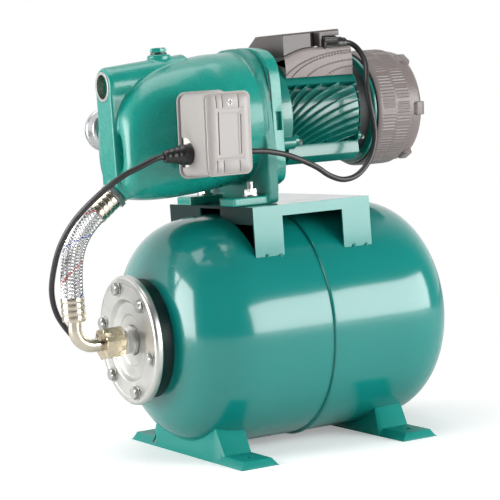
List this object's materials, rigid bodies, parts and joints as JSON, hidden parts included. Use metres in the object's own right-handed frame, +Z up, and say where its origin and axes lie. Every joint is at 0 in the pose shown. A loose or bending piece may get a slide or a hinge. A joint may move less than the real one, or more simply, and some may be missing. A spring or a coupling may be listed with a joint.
{
  "type": "booster pump set",
  "caption": "Self-priming jet pump and finned motor on a teal 24 litre horizontal pressure tank, with pressure switch, gauge and braided hose.",
  "frame": {"origin": "the floor point under the middle of the set's length and width, cords left out", "axes": "+X along the tank from its bolted flange to the motor's fan cover, +Y away from the pressure switch, +Z up"},
  "size_m": [0.5157, 0.4089, 0.483],
  "materials": {
    "teal_paint": "glossy teal enamel",
    "teal_cast": "teal enamel on a cast surface",
    "zinc": "zinc plated",
    "nickel": "warm nickel plate",
    "brass": "plain brass",
    "stainless_braid": "woven stainless wire",
    "stainless": "polished stainless",
    "steel": "bright machined steel",
    "copper": "varnished copper winding",
    "grey_plastic": "fine grained dark grey",
    "pale_plastic": "satin warm grey",
    "black_rubber": "matt black",
    "noryl": "moulded dark grey",
    "ceramic": "fired ceramic",
    "clear": "clear"
  },
  "bodies": {
    "pump_set": {"tank_front_shell": "teal_paint", "tank_rear_shell": "teal_paint", "tank_foot_front": "teal_paint", "tank_foot_rear": "teal_paint", "pump_bracket": "teal_paint", "motor_housing": "teal_paint", "pump_casing": "teal_cast", "motor_bracket": "teal_cast", "end_shield": "teal_cast", "tank_flange": "zinc", "flange_bolt_1": "zinc", "flange_bolt_2": "zinc", "flange_bolt_3": "zinc", "flange_bolt_4": "zinc", "flange_bolt_5": "zinc", "flange_bolt_6": "zinc", "tank_nipple": "zinc", "suction_port_ring": "zinc", "hose_port_nut": "zinc", "foot_bolt_near": "zinc", "foot_bolt_far": "zinc", "upper_ferrule": "nickel", "lower_ferrule": "nickel", "elbow_pipe": "nickel", "air_valve": "brass", "union_nut": "brass", "braided_hose": "stainless_braid", "gauge_case": "stainless", "front_bearing": "steel", "rear_bearing": "steel", "switch_cover_screw": "steel", "stator": "copper", "fan_cover": "grey_plastic", "terminal_saddle": "grey_plastic", "terminal_box": "grey_plastic", "switch_base": "pale_plastic", "switch_cover": "pale_plastic", "run_capacitor": "pale_plastic", "bladder": "black_rubber", "casing_o_ring": "black_rubber", "switch_cable_gland": "black_rubber", "motor_cable_gland": "black_rubber", "motor_cord": "black_rubber", "mains_cord": "black_rubber", "mains_cord_coil": "black_rubber", "mains_plug": "black_rubber", "diffuser": "noryl", "ejector": "noryl", "gauge_lens": "clear"},
    "rotor": {"motor_shaft": "steel", "rotor": "steel", "impeller": "brass", "fan": "noryl", "shaft_seal": "ceramic"},
    "filler_washer": {"filler_washer": "black_rubber"},
    "filler_plug": {"filler_plug": "teal_cast"},
    "flap": {"non_return_flap": "brass"},
    "needle": {"gauge_needle": "black_rubber"},
    "lever": {"contact_lever": "brass"},
    "air_cap": {"air_valve_cap": "noryl"}
  },
  "joints": [
    {"name": "rotor_spin", "type": "hinge", "parent": "pump_set", "child": "rotor", "pos_m": [0.07055, 0, 0.387], "axis": [1, 0, 0], "continuous": true},
    {"name": "filler_rise", "type": "slide", "parent": "pump_set", "child": "filler_washer", "axis": [0, 0, 1], "range_m": [0, 0.0108]},
    {"name": "filler_turn", "type": "hinge", "parent": "filler_washer", "child": "filler_plug", "pos_m": [-0.10845, 0, 0.468], "axis": [0, 0, 1], "range_deg": [0, 2160]},
    {"name": "flap_swing", "type": "hinge", "parent": "pump_set", "child": "flap", "pos_m": [-0.16445, 0, 0.4442], "axis": [0, -1, 0], "range_deg": [0, 50], "stiffness_Nm_per_rad": 0.002},
    {"name": "needle_swing", "type": "hinge", "parent": "pump_set", "child": "needle", "pos_m": [-0.14245, 0.083, 0.383], "axis": [0, -1, 0], "range_deg": [0, 270], "stiffness_Nm_per_rad": 0.0001},
    {"name": "lever_swing", "type": "hinge", "parent": "pump_set", "child": "lever", "pos_m": [-0.09845, -0.092, 0.398], "axis": [-1, 0, 0], "range_deg": [0, 6], "stiffness_Nm_per_rad": 0.5},
    {"name": "air_cap_pull", "type": "slide", "parent": "pump_set", "child": "air_cap", "axis": [1, 0, 0], "range_m": [0, 0.02]}
  ],
  "couplings": [
    {"joint": "filler_turn", "follows": "filler_rise", "rad_per_m": 3490.7}
  ]
}
